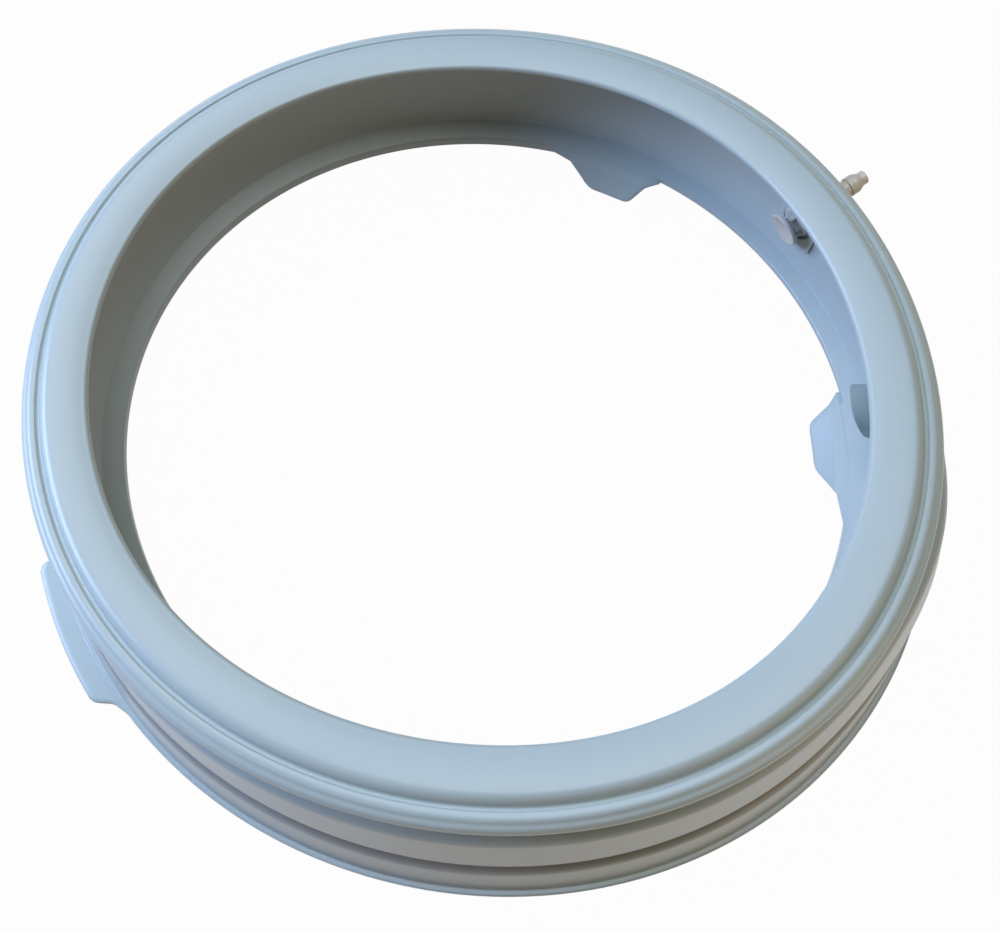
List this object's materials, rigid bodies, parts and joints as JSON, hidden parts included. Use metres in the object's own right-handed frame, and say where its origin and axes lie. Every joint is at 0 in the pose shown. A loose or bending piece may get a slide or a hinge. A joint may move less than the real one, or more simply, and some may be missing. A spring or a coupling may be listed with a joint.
{
  "type": "washing machine door seal",
  "caption": "Round grey rubber door seal for a front-loading washing machine, with a flared rear skirt, a cabinet slot, a door lip, a hose port and a plastic spray nozzle.",
  "frame": {"origin": "on the ring's axis, at the flat foot of the rear rim on which the seal lies", "axes": "+Z along the ring's axis from the tub to the door, +X towards the hose port, -Y towards the plain side that faces the camera"},
  "size_m": [0.37, 0.37, 0.0757],
  "materials": {
    "seal_rubber": "satin, lightly powdered moulded rubber",
    "nozzle_plastic": "smooth moulded plastic"
  },
  "bodies": {
    "root": {"seal_ring": "seal_rubber", "spray_nozzle": "nozzle_plastic"}
  },
  "joints": []
}
